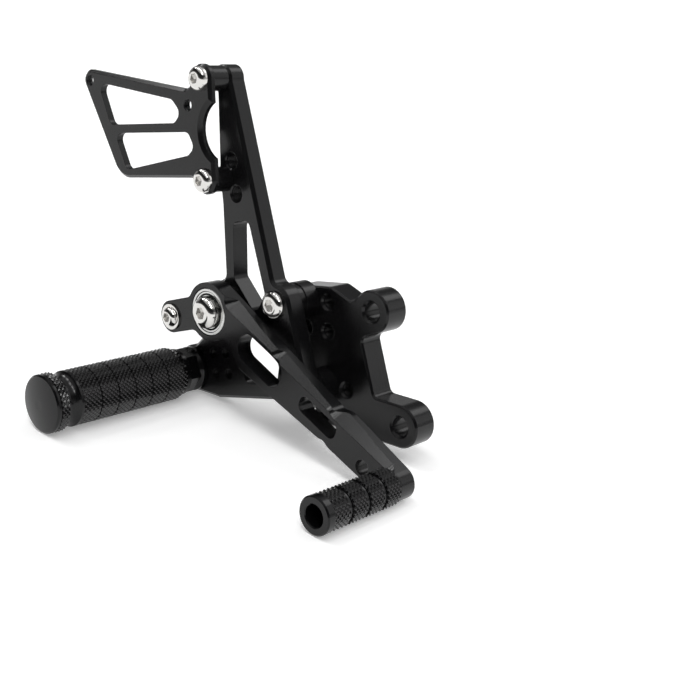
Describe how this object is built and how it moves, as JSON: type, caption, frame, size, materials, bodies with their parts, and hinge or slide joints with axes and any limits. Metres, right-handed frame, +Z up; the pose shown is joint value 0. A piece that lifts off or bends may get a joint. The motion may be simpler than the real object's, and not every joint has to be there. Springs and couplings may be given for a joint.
{
  "type": "rear sets footrest",
  "caption": "Motorcycle rear-set footrest for the brake side: frame plate, hanger with heel guard, knurled foot peg, and a slotted brake pedal with toe peg on a ball bearing",
  "frame": {"origin": "centre of the upper frame bolt hole, on the inner face of the main plate", "axes": "X forward along the machine, Y inward to its middle, Z up, with foot peg and toe peg level along Y"},
  "size_m": [0.2254, 0.1175, 0.1559],
  "materials": {
    "plate_black": "satin black anodised, machined",
    "spacer_black": "black anodised, turned",
    "peg_black": "black anodised, knurled grip",
    "screw_steel": "polished stainless",
    "bearing_steel": "ground bearing steel"
  },
  "bodies": {
    "bracket": {"main_plate": "plate_black", "hanger_plate": "plate_black", "heel_guard": "plate_black", "guard_spacer_upper": "spacer_black", "guard_spacer_lower": "spacer_black", "front_spacer": "spacer_black", "lower_spacer": "spacer_black", "pivot_spacer": "spacer_black", "foot_peg": "peg_black", "peg_cap": "peg_black", "guard_screw_upper": "screw_steel", "guard_screw_lower": "screw_steel", "front_bolt": "screw_steel", "lower_bolt": "screw_steel", "pivot_bolt": "screw_steel", "pivot_shim": "screw_steel", "pivot_nut": "screw_steel", "peg_stud": "screw_steel", "peg_bolt": "screw_steel", "peg_washer": "screw_steel", "bearing_inner_ring": "bearing_steel"},
    "pedal": {"brake_pedal": "plate_black", "bearing_outer_ring": "bearing_steel", "bearing_balls": "bearing_steel", "bearing_cage": "bearing_steel", "bearing_seal_outer": "bearing_steel", "bearing_seal_inner": "bearing_steel", "pushrod_bolt": "screw_steel", "pushrod_nut": "screw_steel", "toe_peg": "peg_black", "toe_peg_screw": "screw_steel"}
  },
  "joints": [
    {"name": "brake_pedal_pivot", "type": "hinge", "parent": "bracket", "child": "pedal", "pos_m": [-0.06694, -0.04, -0.01724], "axis": [0, 1, 0], "range_deg": [-4, 14]}
  ]
}
